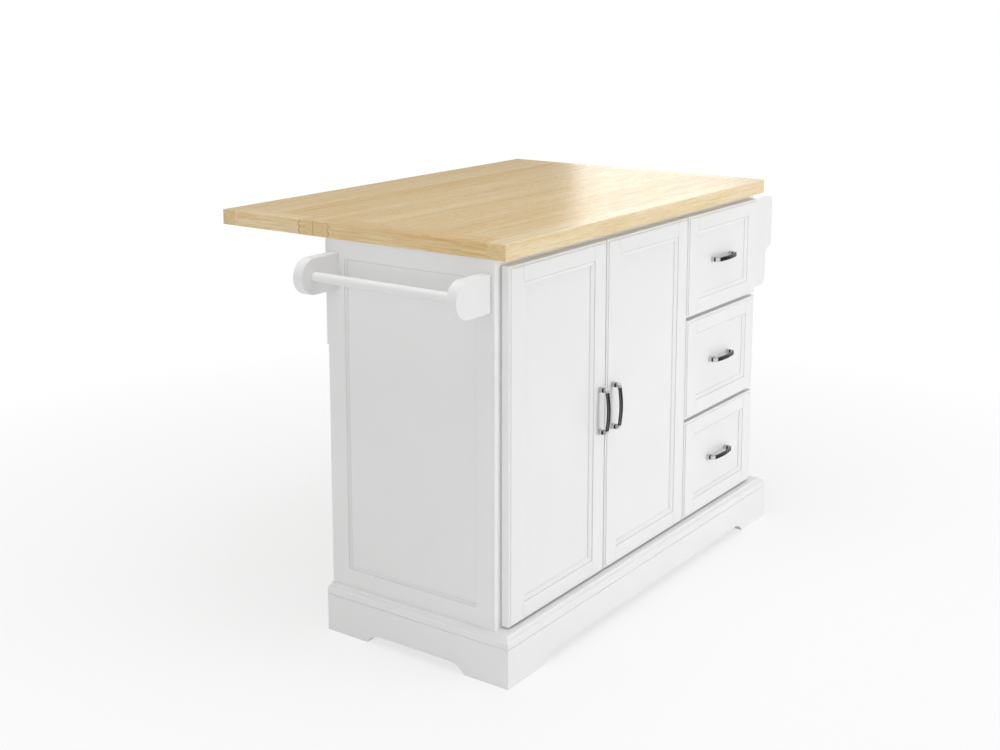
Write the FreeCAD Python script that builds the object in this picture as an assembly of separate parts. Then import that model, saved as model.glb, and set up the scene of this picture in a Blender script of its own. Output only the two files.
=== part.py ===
import FreeCAD, Part
import math
import os

# Drop leaf kitchen island: a white framed cabinet with two doors and three drawers, a jointed
# wood worktop with a hinged leaf along the back, two swing-out leaf supports, a towel bar on
# the left end and a two-tier rack on the right end. Millimetres. +Z up, doors face -Y, the leaf
# is at +Y. The origin is the middle of the whole footprint, on the floor.

# ---- overall sizes ----
overall_height = 914.0
worktop_length = 1165.0
worktop_thickness = 34.0
leaf_depth = 272.0
leaf_gap = 1.0            # joint line between the main top and the leaf
body_depth = 440.0
end_overhang = 2.0        # worktop beyond each end of the body
front_overhang = 28.0     # worktop beyond the front of the body
back_overhang = 38.0      # main top beyond the back of the body

# ---- worktop boards ----
front_rail_width = 46.0
back_rail_width = 40.0
leaf_rail_width = 38.0
end_stile_width = 46.0
main_board_count = 8
leaf_board_count = 4

# ---- carcass ----
side_thickness = 19.0
side_stile = 47.0
side_rail = 40.0
side_bevel = 5.0
panel_thickness = 6.0
panel_recess = 8.0
panel_lap = 8.0
face_frame_thickness = 19.0
face_stile = 25.0
centre_stile = 40.0
face_top_rail = 40.0
drawer_rail = 30.0
carcass_bottom = 24.0
floor_thickness = 18.0
back_thickness = 6.0
divider_thickness = 16.0
stretcher_width = 60.0
stretcher_thickness = 20.0
shelf_thickness = 16.0
shelf_height = 480.0
shelf_clearance = 1.0
shelf_pin_radius = 2.5
shelf_pin_length = 16.0
shelf_pin_inset = 40.0
pin_hole_clearance = 0.1

# ---- doors and drawer fronts ----
front_thickness = 21.0
front_rim = 5.5           # lowered border round the face of each front
front_rim_step = 2.5
front_seat_gap = 0.8      # between a closed front and the face frame
front_inset = 22.0        # from the end of the body to the first front
front_gap = 3.0           # between fronts side by side
drawer_gap = 8.0          # between drawer fronts
fronts_bottom = 110.0
worktop_shadow_gap = 14.0
front_stile = 50.0
front_rail = 38.0
front_bevel = 11.0
front_edge_round = 2.5    # round on the long edges of the rim; the door turns about its centre

# ---- pulls ----
pull_centres = 96.0
pull_foot = 12.0
pull_foot_height = 3.0
pull_neck = 9.0
pull_width = 10.0
pull_thickness = 5.0
pull_rise = 21.0
pull_bow = 4.0

# ---- drawer boxes and runners ----
box_board = 12.0
box_height = 150.0
box_depth = 380.0
box_lift = 38.0
box_bottom_thickness = 6.0
box_bottom_lift = 10.0
groove_depth = 5.0
runner_space = 13.0
channel_height = 36.0
channel_web = 1.5
channel_length = 380.0
runner_clearance = 0.5
runner_thickness = 6.0

# ---- door hinges ----
cup_radius = 13.0
cup_depth = 10.0
cup_flange = 0.8
cup_flange_height = 44.0
cup_from_frame = 3.0
hinge_from_end = 95.0
arm_thickness = 3.0
arm_height = 24.0
arm_reach = 24.0
arm_gap = 0.5

# ---- butt hinges of the leaf and of its supports ----
plate_thickness = 1.5
plate_gap = 0.2           # between the two leaves of a folded hinge
barrel_radius = 3.0
barrel_clearance = 0.3
pin_radius = 1.5
pin_clearance = 0.05
leaf_hinge_length = 60.0
leaf_hinge_width = 28.0
leaf_hinge_spacing = 260.0
support_hinge_length = 50.0
support_hinge_width = 18.0
support_hinge_from_end = 20.0

# ---- leaf supports ----
support_thickness = 19.0
support_reach = 216.0
support_top_drop = 6.5
support_pad_length = 44.0
support_pad_slope = 4.0
support_pad_gap = 0.3
support_nose = 49.0
support_strip_width = 21.0
support_slope_drop = 149.0
support_length = 240.0
support_fillet = 30.0
support_end_round = 14.0
support_root_gap = 0.3

# ---- plinth ----
plinth_height = 84.0
cap_height = 22.0
plinth_board = 20.0
plinth_front_proud = 47.0
cap_fillet_height = 12.0
cap_groove = 1.5
cap_groove_height = 2.0
cap_top_set_back = 13.0
front_foot = 132.0
side_foot = 112.0
arch_height = 20.0
arch_curve = 38.0
block_size = 40.0

# ---- towel bar ----
bracket_reach = 115.0
bracket_height = 78.0
bracket_thickness = 25.0
bracket_inset = 8.0
bracket_drop = 29.0
bar_radius = 10.0
bar_socket = 10.0
bar_clearance = 0.1

# ---- rack on the right end ----
rack_reach = 125.0
rack_lower_reach = 92.0
rack_top_drop = 27.0
rack_height = 233.0
rack_upper_height = 124.0
rack_step_height = 24.0
rack_board = 15.0
rack_inset = 4.0
rack_corner = 25.0
rack_shelf = 12.0
rack_shelf_lift = 8.0
rack_edge_set_back = 4.0
rack_rail_thickness = 9.0
rack_rail_height = 26.0
rack_rail_lift = 30.0

# ---- places worked out from the sizes ----
body_length = worktop_length - 2 * end_overhang
footprint_length = bracket_reach + body_length + rack_reach
x_left = -footprint_length / 2 + bracket_reach
x_right = x_left + body_length
x_mid = (x_left + x_right) / 2
pull_projection = pull_rise + pull_bow
front_reach = max(plinth_front_proud, front_seat_gap + front_thickness + pull_projection)
main_top_depth = front_overhang + body_depth + back_overhang
footprint_depth = front_reach + body_depth + back_overhang + leaf_gap + leaf_depth
y_front = -footprint_depth / 2 + front_reach
y_back = y_front + body_depth
y_hinge = y_back + back_overhang + leaf_gap / 2
z_top = overall_height
z_under = overall_height - worktop_thickness
z_ledge = plinth_height + cap_height
y_front_face = y_front - front_seat_gap - front_thickness
x_inside_left = x_left + side_thickness
x_inside_right = x_right - side_thickness
y_inside_front = y_front + face_frame_thickness
y_inside_back = y_back - back_thickness
fronts_top = z_under - worktop_shadow_gap
fronts_height = fronts_top - fronts_bottom
column_width = (body_length - 2 * front_inset - 2 * front_gap) / 3
column_left = [x_left + front_inset + n * (column_width + front_gap) for n in range(3)]
drawer_front_height = (fronts_height - 2 * drawer_gap) / 3
drawer_names = ["top", "middle", "bottom"]
drawer_bottom = [fronts_top - (n + 1) * drawer_front_height - n * drawer_gap for n in range(3)]
centre_gap_x = column_left[2] - front_gap / 2
drawer_opening_left = centre_gap_x + centre_stile / 2
drawer_opening_right = x_inside_right - face_stile
z_floor_top = fronts_bottom + floor_thickness
divider_left = drawer_opening_left - divider_thickness
support_fold_gap = 2 * plate_thickness + plate_gap
x_support = x_left + support_thickness + support_fold_gap / 2
y_support = y_back + support_fold_gap / 2
x_support_root = x_support - support_fold_gap / 2 + support_root_gap
support_bottom = z_under - support_length
V = FreeCAD.Vector


def box(x0, x1, y0, y1, z0, z1):
    return Part.makeBox(x1 - x0, y1 - y0, z1 - z0, V(x0, y0, z0))


def rod(radius, length, start, direction):
    return Part.makeCylinder(radius, length, start, direction)


def prism(edges, direction):
    """A closed outline of edges, pushed along a direction."""
    return Part.Face(Part.Wire(Part.sortEdges(edges)[0])).extrude(direction)


def polygon(points, direction):
    return Part.Face(Part.makePolygon(points + [points[0]])).extrude(direction)


def bowed(start, end, bow):
    """An arc whose middle stands off the straight line by bow."""
    return Part.Arc(start, (start + end) * 0.5 + bow, end).toShape()


def fuse(shapes):
    return shapes[0].fuse(shapes[1:]).removeSplitter() if len(shapes) > 1 else shapes[0]


def mirrored(shape):
    """The same piece on the other end of the body."""
    return shape.mirror(V(x_mid, 0, 0), V(1, 0, 0))


def write(name, shapes):
    """One file per node; a list becomes a group of separate solids."""
    solids = []
    for shape in shapes:
        solids += shape.Solids
    shape = solids[0] if len(solids) == 1 else Part.makeCompound(solids)
    shape.exportStep(os.path.join("parts", name + ".step"))


# ---- framed panels: two stiles, two rails and a flat panel lapped in from behind ----
def framed(width, height, thickness, stile, top_rail, bottom_rail, bevel):
    """Outer face at y = 0 looking along -Y, lower left corner at the origin."""
    x0, x1 = stile, width - stile
    z0, z1 = bottom_rail, height - top_rail
    deep = (x0 + bevel, x1 - bevel, z0 + bevel, z1 - bevel)
    mouth = Part.makePolygon([V(x0, 0, z0), V(x1, 0, z0), V(x1, 0, z1), V(x0, 0, z1), V(x0, 0, z0)])
    throat = Part.makePolygon([
        V(deep[0], panel_recess, deep[2]), V(deep[1], panel_recess, deep[2]),
        V(deep[1], panel_recess, deep[3]), V(deep[0], panel_recess, deep[3]),
        V(deep[0], panel_recess, deep[2])])
    ring = box(0, width, 0, thickness, 0, height)
    ring = ring.cut(Part.makeLoft([mouth, throat], True, True))
    ring = ring.cut(box(deep[0], deep[1], 0, thickness, deep[2], deep[3]))
    lap = (deep[0] - panel_lap, deep[1] + panel_lap, deep[2] - panel_lap, deep[3] + panel_lap)
    ring = ring.cut(box(lap[0], lap[1], panel_recess, thickness, lap[2], lap[3]))
    left = fuse([box(0, x0, 0, thickness, 0, height), box(x0, deep[0], 0, thickness, z0, z1)])
    right = fuse([box(x1, width, 0, thickness, 0, height), box(deep[1], x1, 0, thickness, z0, z1)])
    stiles = [ring.common(left), ring.common(right)]
    rails = ring.cut(left).cut(right)
    panel = box(lap[0], lap[1], panel_recess, panel_recess + panel_thickness, lap[2], lap[3])
    return stiles + rails.Solids, panel


def moved(shape, x, y, z):
    copy = shape.copy()
    copy.translate(V(x, y, z))
    return copy


def side_wall(name, turn, x, y):
    height = z_under - carcass_bottom
    bottom_rail = z_ledge - carcass_bottom + side_rail
    frame, panel = framed(body_depth, height, side_thickness, side_stile, side_rail, bottom_rail, side_bevel)
    pieces = []
    for piece in frame + [panel]:
        piece.rotate(V(0, 0, 0), V(0, 0, 1), turn)
        pieces.append(moved(piece, x, y, carcass_bottom))
    for room in shelf_pins(pin_hole_clearance) + corner_reliefs():
        pieces = [piece.cut(room) for piece in pieces]
    write(name + "_side_frame", pieces[:-1])
    write(name + "_side_panel", pieces[-1:])


def corner_reliefs():
    return hinge_reliefs() + [mirrored(room) for room in hinge_reliefs()]


def shelf_pins(clearance):
    """Four pins, half in the wall and half under the shelf."""
    pins = []
    z = shelf_height - shelf_pin_radius - pin_hole_clearance
    for x in (x_inside_left, divider_left):
        for y in (y_inside_front + shelf_pin_inset, y_inside_back - shelf_pin_inset):
            start = V(x - shelf_pin_length / 2, y, z)
            pins.append(rod(shelf_pin_radius + clearance, shelf_pin_length, start, V(1, 0, 0)))
    return pins


def carcass():
    side_wall("left", -90, x_left, y_back)
    side_wall("right", 90, x_right, y_front)
    back = box(x_inside_left, x_inside_right, y_inside_back, y_back, plinth_height, z_under)
    for room in corner_reliefs():
        back = back.cut(room)
    write("back_panel", [back])
    write("cabinet_floor", [
        box(x_inside_left, x_inside_right, y_inside_front, y_inside_back, fronts_bottom, z_floor_top)])
    stretchers = [
        box(x_inside_left, x_inside_right, y_inside_front, y_inside_front + stretcher_width,
            z_under - stretcher_thickness, z_under),
        box(x_inside_left, x_inside_right, y_inside_back - stretcher_width, y_inside_back,
            z_under - stretcher_thickness, z_under)]
    write("top_stretchers", stretchers)
    divider = box(divider_left, drawer_opening_left, y_inside_front, y_inside_back, z_floor_top, z_under)
    for piece in stretchers + shelf_pins(pin_hole_clearance):
        divider = divider.cut(piece)
    write("cupboard_divider", [divider])
    write("shelf", [
        box(x_inside_left + shelf_clearance, divider_left - shelf_clearance,
            y_inside_front + shelf_clearance, y_inside_back - shelf_clearance,
            shelf_height, shelf_height + shelf_thickness)])
    write("shelf_pins", shelf_pins(0))
    face_frame()


def face_frame():
    y0, y1 = y_front, y_inside_front
    z_rail = z_under - face_top_rail
    stiles = [
        box(x_inside_left, x_inside_left + face_stile, y0, y1, plinth_height, z_under),
        box(drawer_opening_left - centre_stile, drawer_opening_left, y0, y1, z_floor_top, z_rail),
        box(drawer_opening_right, x_inside_right, y0, y1, plinth_height, z_under)]
    inner_left = x_inside_left + face_stile
    rails = [
        box(inner_left, drawer_opening_right, y0, y1, z_rail, z_under),
        box(inner_left, drawer_opening_right, y0, y1, plinth_height, z_floor_top)]
    for n in range(2):
        middle = drawer_bottom[n] - drawer_gap / 2
        rails.append(box(drawer_opening_left, drawer_opening_right, y0, y1,
                         middle - drawer_rail / 2, middle + drawer_rail / 2))
    write("face_frame", stiles + rails)


# ---- plinth: base boards with arched feet, and a moulded cap ----
def arch(start, end, foot, depth_point, along):
    """Outline of the arched cut-out between two feet: an arc at each end, level with the top."""
    radius = (arch_curve ** 2 + arch_height ** 2) / (2 * arch_height)
    half_turn = math.asin(arch_curve / radius) / 2
    reach = radius * math.sin(half_turn)
    drop = radius * (1 - math.cos(half_turn))

    def at(distance, z):
        return depth_point + along * distance + V(0, 0, z)

    edges = []
    for low, side in ((start + foot, 1), (end - foot, -1)):
        high = low + side * arch_curve
        edges.append(Part.Arc(at(low, 0), at(high - side * reach, arch_height - drop),
                              at(high, arch_height)).toShape())
    inset = foot + arch_curve
    edges.append(Part.makeLine(at(start + inset, arch_height), at(end - inset, arch_height)))
    edges.append(Part.makeLine(at(start + foot, 0), at(end - foot, 0)))
    return edges


def plinth():
    xo0, xo1 = x_left - plinth_board, x_right + plinth_board
    yo = y_front - plinth_front_proud
    outline = [
        V(xo0, yo, 0), V(x_left, yo + plinth_board, 0), V(x_right, yo + plinth_board, 0), V(xo1, yo, 0)]
    front = polygon(outline, V(0, 0, plinth_height))
    front_arch = prism(arch(xo0, xo1, front_foot, V(0, yo, 0), V(1, 0, 0)), V(0, plinth_board, 0))
    write("plinth_front", [front.cut(front_arch)])
    side = polygon([V(xo0, yo, 0), V(xo0, y_back, 0), V(x_left, y_back, 0), V(x_left, yo + plinth_board, 0)],
                   V(0, 0, plinth_height))
    side_arch = prism(arch(yo, y_back, side_foot, V(xo0, 0, 0), V(0, 1, 0)), V(plinth_board, 0, 0))
    side = side.cut(side_arch)
    write("plinth_left", [side])
    write("plinth_right", [mirrored(side)])
    back = box(x_inside_left, x_inside_right, y_back - plinth_board, y_back, 0, plinth_height)
    back_arch = prism(arch(xo0, xo1, front_foot, V(0, y_back - plinth_board, 0), V(1, 0, 0)),
                      V(0, plinth_board, 0))
    write("plinth_back", [back.cut(back_arch)])
    write("plinth_caps", plinth_caps(xo0, xo1, yo))
    front_block = box(x_left, x_inside_left + block_size, yo + plinth_board, y_front, 0, plinth_height)
    back_block = box(x_inside_left, x_inside_left + block_size, y_back - plinth_board - block_size,
                     y_back - plinth_board, 0, plinth_height)
    write("corner_blocks", [front_block, mirrored(front_block), back_block, mirrored(back_block)])


def cap_edge(corner, inward, length):
    """The moulded edge of the cap as a bar: a groove, a flat, then an S back to the ledge."""
    up = V(0, 0, 1)
    rise = cap_height - cap_fillet_height
    half = rise / 2
    foot = corner + inward * cap_groove + up * plinth_height
    groove_top = foot + up * cap_groove_height
    flat = groove_top - inward * cap_groove
    lip = corner + up * (plinth_height + cap_fillet_height)
    middle = lip + up * half + inward * (cap_top_set_back / 2)
    top = lip + up * rise + inward * cap_top_set_back
    bow = (up - inward) * (half / 8)
    inner = inward * plinth_board
    edges = [
        Part.makeLine(foot, groove_top),
        Part.makeLine(groove_top, flat),
        Part.makeLine(flat, lip),
        bowed(lip, middle, bow),
        bowed(middle, top, bow * -1),
        Part.makeLine(top, corner + inner + up * z_ledge),
        Part.makeLine(corner + inner + up * z_ledge, corner + inner + up * plinth_height),
        Part.makeLine(corner + inner + up * plinth_height, foot)]
    return prism(edges, length)


def plinth_caps(xo0, xo1, yo):
    """Cap strips, mitred at the two front corners."""
    front = cap_edge(V(xo0, yo, 0), V(0, 1, 0), V(xo1 - xo0, 0, 0))
    front_outline = [
        V(xo0, yo, 0), V(x_left, yo + plinth_board, 0), V(x_right, yo + plinth_board, 0), V(xo1, yo, 0)]
    front = front.common(polygon(front_outline, V(0, 0, z_ledge)))
    ledge = box(x_left, x_right, yo + plinth_board, y_front, plinth_height, z_ledge)
    side = cap_edge(V(xo0, yo, 0), V(1, 0, 0), V(0, y_back - yo, 0))
    side_outline = [V(xo0, yo, 0), V(xo0, y_back, 0), V(x_left, y_back, 0), V(x_left, yo + plinth_board, 0)]
    side = side.common(polygon(side_outline, V(0, 0, z_ledge)))
    return [fuse([front, ledge]), side, mirrored(side)]


# ---- worktop ----
def jointed_top(name, y0, y1, near_rail, far_rail, board_count):
    """Rails run the full length, stiles and boards lie between them."""
    x0, x1 = x_left - end_overhang, x_right + end_overhang
    ya, yb = y0 + near_rail, y1 - far_rail
    frame = [
        box(x0, x1, y0, ya, z_under, z_top),
        box(x0, x1, yb, y1, z_under, z_top),
        box(x0, x0 + end_stile_width, ya, yb, z_under, z_top),
        box(x1 - end_stile_width, x1, ya, yb, z_under, z_top)]
    write(name + "_frame", frame)
    board = (yb - ya) / board_count
    write(name + "_boards", [
        box(x0 + end_stile_width, x1 - end_stile_width, ya + n * board, ya + (n + 1) * board, z_under, z_top)
        for n in range(board_count)])


def worktop():
    y_edge = y_front - front_overhang
    y_seam = y_edge + main_top_depth
    y_leaf = y_seam + leaf_gap
    jointed_top("worktop", y_edge, y_seam, front_rail_width, back_rail_width, main_board_count)
    jointed_top("leaf", y_leaf, y_leaf + leaf_depth, leaf_rail_width, leaf_rail_width, leaf_board_count)


# ---- butt hinges ----
def butt_hinge(middle, axis, length, fixed_plate, moving_plate):
    """Three knuckles on one pin: the outer two and the pin are fixed, the middle one turns."""
    start = middle - axis * (length / 2)
    third = length / 3
    clear = barrel_radius + barrel_clearance

    def knuckle(radius, first, last, gap):
        return rod(radius, (last - first) * third + 2 * gap, start + axis * (first * third - gap), axis)

    fixed = fuse([fixed_plate, knuckle(barrel_radius, 0, 1, 0), knuckle(barrel_radius, 2, 3, 0)])
    fixed = fixed.cut(knuckle(clear, 1, 2, barrel_clearance / 2))
    fixed = fuse([fixed, knuckle(pin_radius, 0, 3, 0)])
    moving = fuse([moving_plate, knuckle(barrel_radius, 1, 2, -barrel_clearance / 2)])
    moving = moving.cut(knuckle(clear, 0, 1, 0)).cut(knuckle(clear, 2, 3, 0))
    moving = moving.cut(knuckle(pin_radius + pin_clearance, 0, 3, 1))
    return fixed, moving


def leaf_hinges():
    z_axis = z_under - barrel_radius - barrel_clearance
    fixed_pieces, moving_pieces = [], []
    for n in (-1, 0, 1):
        x = x_mid + n * leaf_hinge_spacing
        x0, x1 = x - leaf_hinge_length / 2, x + leaf_hinge_length / 2
        z0 = z_under - plate_thickness
        y_plate, y_flap = y_hinge - leaf_gap / 2, y_hinge + leaf_gap / 2
        plate = box(x0, x1, y_plate - leaf_hinge_width, y_plate, z0, z_under)
        flap = box(x0, x1, y_flap, y_flap + leaf_hinge_width, z0, z_under)
        fixed, moving = butt_hinge(V(x, y_hinge, z_axis), V(1, 0, 0), leaf_hinge_length, plate, flap)
        fixed_pieces.append(fixed)
        moving_pieces.append(moving)
    write("leaf_hinge_plates", fixed_pieces)
    write("leaf_hinge_flaps", moving_pieces)


# ---- leaf supports, folded against the back ----
def support_fin():
    """Outline from the root: raised end, nose, long slope, hollow curve, narrow strip."""
    y0 = y_back + support_fold_gap
    x0 = x_support_root
    z1 = z_under - support_top_drop
    z2 = z_under - support_pad_gap
    x_end = x0 + support_reach
    x_pad = x_end - support_pad_length
    x_strip = x0 + support_strip_width
    z_nose = z_under - support_nose
    z_foot = z_under - support_slope_drop
    slope = math.atan2(z_nose - z_foot, x_end - x_strip)
    bend = math.pi / 2 - slope
    tangent = support_fillet * math.tan(bend / 2)
    on_slope = V(x_strip + tangent * math.cos(slope), y0, z_foot + tangent * math.sin(slope))
    on_strip = V(x_strip, y0, z_foot - tangent)
    centre = V(x_strip + support_fillet, y0, z_foot - tangent)
    aim = math.pi - bend / 2
    mid = centre + V(math.cos(aim), 0, math.sin(aim)) * support_fillet
    z_round = support_bottom + support_end_round
    round_centre = V(x_strip - support_end_round, y0, z_round)
    round_mid = round_centre + V(math.sqrt(0.5), 0, -math.sqrt(0.5)) * support_end_round
    round_end = V(x_strip - support_end_round, y0, support_bottom)
    corners = [
        V(x_strip - support_end_round, y0, support_bottom), V(x0, y0, support_bottom), V(x0, y0, z1),
        V(x_pad - support_pad_slope, y0, z1), V(x_pad, y0, z2), V(x_end, y0, z2), V(x_end, y0, z_nose),
        on_slope]
    edges = [Part.makeLine(a, b) for a, b in zip(corners, corners[1:])]
    edges.append(Part.Arc(on_slope, mid, on_strip).toShape())
    edges.append(Part.makeLine(on_strip, V(x_strip, y0, z_round)))
    edges.append(Part.Arc(V(x_strip, y0, z_round), round_mid, round_end).toShape())
    return prism(edges, V(0, support_thickness, 0))


def supports():
    fin = support_fin()
    fixed_pieces, moving_pieces = [], []
    for z in support_hinge_heights():
        z0, z1 = z - support_hinge_length / 2, z + support_hinge_length / 2
        plate = box(x_support, x_support + support_hinge_width, y_back, y_back + plate_thickness, z0, z1)
        y_flap = y_back + support_fold_gap - plate_thickness
        flap = box(x_support, x_support + support_hinge_width, y_flap, y_flap + plate_thickness, z0, z1)
        fixed, moving = butt_hinge(V(x_support, y_support, z), V(0, 0, 1), support_hinge_length, plate, flap)
        fixed_pieces.append(fixed)
        moving_pieces.append(moving)
    for relief in hinge_reliefs():
        fin = fin.cut(relief)
    write("left_support", [fin])
    write("right_support", [mirrored(fin)])
    write("left_support_hinge_flaps", moving_pieces)
    write("right_support_hinge_flaps", [mirrored(piece) for piece in moving_pieces])
    write("support_hinge_plates", fixed_pieces + [mirrored(piece) for piece in fixed_pieces])


def support_hinge_heights():
    half = support_hinge_length / 2
    low = support_bottom + support_hinge_from_end + half
    high = z_under - support_top_drop - support_hinge_from_end - half
    return [low, high]


def hinge_reliefs():
    """Room for the left barrels, in the support and in the corner of the cabinet behind them."""
    reliefs = []
    for z in support_hinge_heights():
        start = V(x_support, y_support, z - support_hinge_length / 2 - barrel_clearance)
        reliefs.append(rod(barrel_radius + barrel_clearance,
                           support_hinge_length + 2 * barrel_clearance, start, V(0, 0, 1)))
    return reliefs


# ---- doors and drawers ----
def rimmed(frame, width, height):
    """Lowers the rim of a front and rounds its two long edges."""
    r = front_edge_round
    y = front_rim_step + r
    rim = box(0, width, 0, front_rim_step, 0, height)
    rim = rim.cut(box(front_rim, width - front_rim, 0, front_rim_step, front_rim, height - front_rim))
    left = box(0, r, 0, y, 0, height).cut(rod(r, height, V(r, y, 0), V(0, 0, 1)))
    right = box(width - r, width, 0, y, 0, height).cut(rod(r, height, V(width - r, y, 0), V(0, 0, 1)))
    return [piece.cut([rim, left, right]) for piece in frame]


def front(name, width, height, x, z, cups):
    frame, panel = framed(width, height, front_thickness, front_stile, front_rail, front_rail, front_bevel)
    frame = rimmed(frame, width, height)
    frame = [moved(piece, x, y_front_face, z) for piece in frame]
    for cup in cups:
        frame = [piece.cut(cup) for piece in frame]
    write(name + "_frame", frame)
    write(name + "_panel", [moved(panel, x, y_front_face, z)])


def pull(along, base):
    """An arched flat bar on two stepped feet; along is its long direction."""
    out = V(0, -1, 0)
    across = along.cross(out)
    half = pull_centres / 2
    foot_half = pull_foot / 2
    pieces = []
    for side in (-1, 1):
        centre = base + along * (side * half)
        low = centre - along * foot_half - across * foot_half
        foot = Part.makePolygon([
            low, low + along * pull_foot, low + along * pull_foot + across * pull_foot,
            low + across * pull_foot, low])
        pieces.append(Part.Face(foot).extrude(out * pull_foot_height))
    start = base - across * (pull_width / 2)
    inner_half = half - pull_neck / 2
    outer_half = half + pull_neck / 2
    neck = pull_foot_height
    shoulder = pull_rise - pull_neck
    inner_rise = pull_rise - pull_thickness
    inner_shoulder = inner_rise - pull_thickness

    def at(distance, height):
        return start + along * distance + out * height

    def corner(side, reach, rise, turn):
        """A quarter round from the neck over to the bow."""
        bow_start = reach - turn
        bend = turn * (1 - math.sqrt(0.5))
        return Part.Arc(at(side * reach, rise - turn), at(side * (reach - bend), rise - bend),
                        at(side * bow_start, rise)).toShape()

    edges = []
    for side in (-1, 1):
        edges.append(corner(side, outer_half, pull_rise, pull_neck))
        edges.append(corner(side, inner_half, inner_rise, pull_thickness))
        edges.append(Part.makeLine(at(side * outer_half, neck), at(side * outer_half, shoulder)))
        edges.append(Part.makeLine(at(side * inner_half, neck), at(side * inner_half, inner_shoulder)))
        edges.append(Part.makeLine(at(side * inner_half, neck), at(side * outer_half, neck)))
    outer_start, inner_start = outer_half - pull_neck, inner_half - pull_thickness
    edges.append(bowed(at(-outer_start, pull_rise), at(outer_start, pull_rise), out * pull_bow))
    edges.append(bowed(at(-inner_start, inner_rise), at(inner_start, inner_rise), out * pull_bow))
    pieces.append(prism(edges, across * pull_width))
    return fuse(pieces)


def doors():
    z_middle = (fronts_bottom + fronts_top) / 2
    inner_left = x_inside_left + face_stile
    inner_right = drawer_opening_left - centre_stile
    sides = [("left_door", column_left[0], inner_left, 1, column_width - front_stile / 2),
             ("right_door", column_left[1], inner_right, -1, front_stile / 2)]
    arms = []
    for name, x, stile_edge, side, pull_x in sides:
        cups, holes = [], []
        for z in (fronts_bottom + hinge_from_end, fronts_top - hinge_from_end):
            cup_x = stile_edge + side * (cup_from_frame + cup_radius)
            y_back_face = y_front_face + front_thickness
            cup = rod(cup_radius, cup_depth, V(cup_x, y_back_face - cup_depth, z), V(0, 1, 0))
            flange = box(cup_x - cup_radius, cup_x + cup_radius, y_back_face, y_back_face + cup_flange,
                         z - cup_flange_height / 2, z + cup_flange_height / 2)
            cups.append(fuse([cup, flange]))
            holes.append(cup)
            arms.append(hinge_arm(stile_edge, side, z))
        front(name, column_width, fronts_height, x, fronts_bottom, holes)
        write(name + "_hinge_cups", cups)
        write(name + "_pull", [pull(V(0, 0, 1), V(x + pull_x, y_front_face, z_middle))])
    write("door_hinge_arms", arms)


def hinge_arm(stile_edge, side, z):
    """A plate on the edge of the frame and a short arm that reaches over the cup."""
    def span(reach0, reach1):
        return sorted((stile_edge + side * reach0, stile_edge + side * reach1))

    z0, z1 = z - arm_height / 2, z + arm_height / 2
    x0, x1 = span(0, arm_thickness)
    y0 = y_front + arm_gap
    plate = box(x0, x1, y0, y_inside_front, z0, z1)
    x0, x1 = span(0, arm_reach)
    return fuse([plate, box(x0, x1, y0, y0 + arm_thickness, z0 + arm_thickness, z1 - arm_thickness)])


def drawers():
    channels, blocks = [], []
    for n in range(3):
        name = drawer_names[n] + "_drawer"
        z0 = drawer_bottom[n]
        x0 = column_left[2]
        front(name, column_width, drawer_front_height, x0, z0, [])
        centre = V(x0 + column_width / 2, y_front_face + panel_recess, z0 + drawer_front_height / 2)
        write(name + "_pull", [pull(V(1, 0, 0), centre)])
        drawer_box(name, z0 + box_lift)
        z_rail = z0 + box_lift + box_height / 2
        runners = []
        for edge, side in ((drawer_opening_left, 1), (drawer_opening_right, -1)):
            channel, runner = slide(edge, side, z_rail)
            channels.append(channel)
            runners.append(runner)
        write(name + "_runners", runners)
        half = channel_height / 2
        blocks.append(box(drawer_opening_right, x_inside_right, y_inside_front,
                          y_inside_front + channel_length, z_rail - half, z_rail + half))
    write("drawer_channels", channels)
    write("runner_blocks", blocks)


def slide(edge, side, z):
    """A C-shaped channel on the cabinet and the bar that runs in it, on the drawer."""
    def span(reach0, reach1):
        return sorted((edge + side * reach0, edge + side * reach1))

    y0, y1 = y_inside_front, y_inside_front + channel_length
    half = channel_height / 2
    depth = runner_space - runner_clearance
    x0, x1 = span(0, depth)
    channel = box(x0, x1, y0, y1, z - half, z + half)
    x0, x1 = span(channel_web, depth)
    channel = channel.cut(box(x0, x1, y0, y1, z - half + channel_web, z + half - channel_web))
    bar_half = half - channel_web - runner_clearance
    x0, x1 = span(runner_space - runner_thickness, runner_space)
    return channel, box(x0, x1, y0, y1, z - bar_half, z + bar_half)


def drawer_box(name, z0):
    x0, x1 = drawer_opening_left + runner_space, drawer_opening_right - runner_space
    y0 = y_front_face + front_thickness
    y1 = y0 + box_depth
    z1 = z0 + box_height
    inner = (x0 + box_board, x1 - box_board, y0 + box_board, y1 - box_board)
    zb = z0 + box_bottom_lift
    bottom = box(inner[0] - groove_depth, inner[1] + groove_depth, inner[2] - groove_depth,
                 inner[3] + groove_depth, zb, zb + box_bottom_thickness)
    boards = [
        box(x0, inner[0], y0, y1, z0, z1), box(inner[1], x1, y0, y1, z0, z1),
        box(inner[0], inner[1], y0, inner[2], z0, z1), box(inner[0], inner[1], inner[3], y1, z0, z1)]
    write(name + "_box", [board.cut(bottom) for board in boards] + [bottom])


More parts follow.
